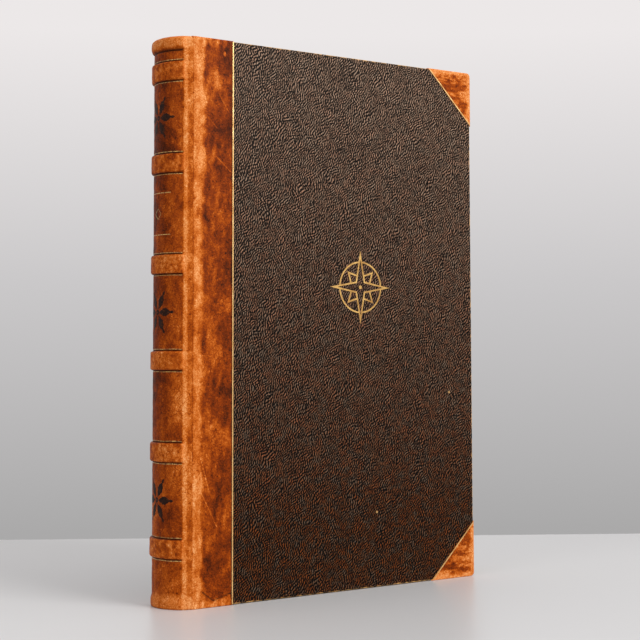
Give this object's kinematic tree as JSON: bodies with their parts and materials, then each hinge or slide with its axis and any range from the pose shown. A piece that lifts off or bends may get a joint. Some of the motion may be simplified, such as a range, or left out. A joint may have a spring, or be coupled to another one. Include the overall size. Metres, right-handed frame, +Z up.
{
  "type": "atlas",
  "caption": "Large half-leather atlas with a rounded back, raised bands, leather corners, grained brown sides and two hinged covers, standing upright.",
  "frame": {"origin": "centre of the closed book's footprint, on the surface it stands on", "axes": "+Z up along the spine from tail to head, +X from the spine to the fore-edge, the front cover faces -Y"},
  "size_m": [0.3118, 0.054, 0.46],
  "materials": {
    "tan_calf": "polished calf, worn and mottled",
    "grained_cloth": "brown coated cloth with a pressed long grain",
    "gold_leaf": "blocked gold leaf, slightly rubbed",
    "dark_tooling": "blind tooling, scorched dark",
    "paper_leaves": "aged cream paper, trimmed edges",
    "endpaper": "plain aged endpaper",
    "grey_board": "milled binder's board",
    "card_inlay": "manila card",
    "band_leather": "pasted leather strip",
    "mull_lining": "open mull under kraft paper",
    "linen_tape": "unbleached linen tape",
    "silk_endband": "silk endband in two colours"
  },
  "bodies": {
    "spine_and_leaves": {"text_block": "paper_leaves", "front_flyleaf": "endpaper", "rear_flyleaf": "endpaper", "head_band": "silk_endband", "tail_band": "silk_endband", "spine_lining": "mull_lining", "spine_inlay": "card_inlay", "spine_leather": "tan_calf", "spine_gilt": "gold_leaf", "spine_flowers": "dark_tooling", "sewing_tape_1": "linen_tape", "sewing_tape_2": "linen_tape", "sewing_tape_3": "linen_tape", "sewing_tape_4": "linen_tape", "sewing_tape_5": "linen_tape", "raised_band_1": "band_leather", "raised_band_2": "band_leather", "raised_band_3": "band_leather", "raised_band_4": "band_leather", "raised_band_5": "band_leather", "raised_band_6": "band_leather"},
    "front_cover": {"front_board": "grey_board", "front_joint_leather": "tan_calf", "front_side_cloth": "grained_cloth", "front_corner_head": "tan_calf", "front_corner_tail": "tan_calf", "front_infill": "card_inlay", "front_pastedown": "endpaper", "front_gilt_fillets": "gold_leaf", "front_ornament": "gold_leaf"},
    "rear_cover": {"rear_board": "grey_board", "rear_joint_leather": "tan_calf", "rear_side_cloth": "grained_cloth", "rear_corner_head": "tan_calf", "rear_corner_tail": "tan_calf", "rear_infill": "card_inlay", "rear_pastedown": "endpaper", "rear_gilt_fillets": "gold_leaf"}
  },
  "joints": [
    {"name": "front_cover_hinge", "type": "hinge", "parent": "spine_and_leaves", "child": "front_cover", "pos_m": [-0.13605, -0.027, 0.23], "axis": [0, 0, -1], "range_deg": [0, 180]},
    {"name": "rear_cover_hinge", "type": "hinge", "parent": "spine_and_leaves", "child": "rear_cover", "pos_m": [-0.13605, 0.027, 0.23], "axis": [0, 0, 1], "range_deg": [0, 180]}
  ]
}
